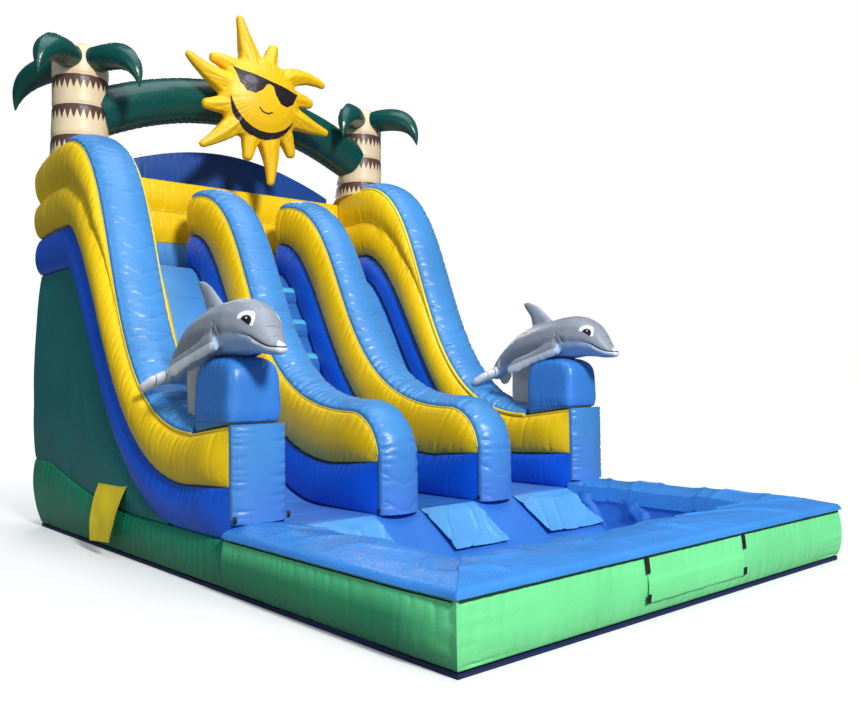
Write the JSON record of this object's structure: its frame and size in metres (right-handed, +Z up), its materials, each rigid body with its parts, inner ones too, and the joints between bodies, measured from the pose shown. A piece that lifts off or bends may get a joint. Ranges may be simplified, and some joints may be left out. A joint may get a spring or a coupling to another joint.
{
  "type": "inflatable double water slide",
  "caption": "Inflatable tower with slide lanes on both sides of a climbing lane, a splash pool in front, palms, an arch, a sun and dolphins.",
  "frame": {"origin": "on the ground, middle of the ground sheet's underside", "axes": "+X to the right seen from the pool, +Y back from the pool to the tower, +Z up"},
  "size_m": [5.4356, 7.7514, 6.2982],
  "materials": {
    "vinyl_light_blue": "satin PVC-coated cloth",
    "vinyl_deep_blue": "satin PVC-coated cloth",
    "vinyl_navy": "satin PVC-coated cloth",
    "vinyl_yellow": "satin PVC-coated cloth",
    "vinyl_dark_green": "satin PVC-coated cloth",
    "vinyl_teal_wall": "satin PVC-coated cloth",
    "vinyl_leaf_green": "satin PVC-coated cloth",
    "vinyl_pool_green": "satin PVC-coated cloth",
    "vinyl_beige": "satin PVC-coated cloth, printed bands",
    "vinyl_grey": "satin PVC-coated cloth, printed markings",
    "vinyl_pale": "satin PVC-coated cloth",
    "webbing_white": "woven nylon webbing"
  },
  "bodies": {
    "slide": {"arch_tube": "vinyl_dark_green", "back_panel": "vinyl_navy", "back_wall_blue": "vinyl_light_blue", "back_wall_yellow": "vinyl_yellow", "base_mattress": "vinyl_leaf_green", "climb_handle_1": "webbing_white", "climb_handle_2": "webbing_white", "climb_handle_3": "webbing_white", "climb_handle_4": "webbing_white", "climb_ramp": "vinyl_light_blue", "divider_band_left": "vinyl_yellow", "divider_band_right": "vinyl_yellow", "divider_cap_left": "vinyl_light_blue", "divider_cap_right": "vinyl_light_blue", "divider_foot_left": "vinyl_deep_blue", "divider_foot_right": "vinyl_deep_blue", "dolphin_left": "vinyl_grey", "dolphin_post_left": "vinyl_light_blue", "dolphin_post_right": "vinyl_light_blue", "dolphin_right": "vinyl_grey", "frond_left_1": "vinyl_dark_green", "frond_left_2": "vinyl_dark_green", "frond_left_3": "vinyl_dark_green", "frond_right_1": "vinyl_dark_green", "frond_right_2": "vinyl_dark_green", "frond_right_3": "vinyl_dark_green", "ground_sheet": "vinyl_navy", "inflation_sleeve": "vinyl_deep_blue", "palm_trunk_left": "vinyl_beige", "palm_trunk_right": "vinyl_beige", "platform_deck": "vinyl_deep_blue", "pool_liner": "vinyl_light_blue", "pool_wall_front": "vinyl_pool_green", "pool_wall_left": "vinyl_pool_green", "pool_wall_right": "vinyl_pool_green", "rail_band_left": "vinyl_yellow", "rail_band_right": "vinyl_yellow", "rail_cap_left": "vinyl_light_blue", "rail_cap_right": "vinyl_light_blue", "rail_foot_left": "vinyl_deep_blue", "rail_foot_right": "vinyl_deep_blue", "rail_front_left": "vinyl_light_blue", "rail_front_right": "vinyl_light_blue", "rear_wall": "vinyl_deep_blue", "rim_cover_front": "vinyl_light_blue", "rim_cover_left": "vinyl_light_blue", "rim_cover_right": "vinyl_light_blue", "side_wall_left": "vinyl_teal_wall", "side_wall_right": "vinyl_teal_wall", "slide_bed_left": "vinyl_light_blue", "slide_bed_right": "vinyl_light_blue", "sun": "vinyl_yellow", "tail_gusset_left": "vinyl_pale", "tail_gusset_right": "vinyl_pale", "tower_core": "vinyl_deep_blue"},
    "landing_flap_left": {"landing_flap_left": "vinyl_light_blue"},
    "landing_flap_middle": {"landing_flap_middle": "vinyl_light_blue"},
    "landing_flap_right": {"landing_flap_right": "vinyl_light_blue"},
    "drain_flap": {"drain_flap": "vinyl_pool_green"}
  },
  "joints": [
    {"name": "landing_flap_left_hinge", "type": "hinge", "parent": "slide", "child": "landing_flap_left", "pos_m": [-1.3175, -0.9583, 0.46], "axis": [-1, 0, 0], "range_deg": [0, 120]},
    {"name": "landing_flap_middle_hinge", "type": "hinge", "parent": "slide", "child": "landing_flap_middle", "pos_m": [0, -0.9583, 0.46], "axis": [-1, 0, 0], "range_deg": [0, 120]},
    {"name": "landing_flap_right_hinge", "type": "hinge", "parent": "slide", "child": "landing_flap_right", "pos_m": [1.3175, -0.9583, 0.46], "axis": [-1, 0, 0], "range_deg": [0, 120]},
    {"name": "drain_flap_hinge", "type": "hinge", "parent": "slide", "child": "drain_flap", "pos_m": [0.05, -3.6453, 0.31], "axis": [-1, 0, 0], "range_deg": [0, 120]}
  ]
}
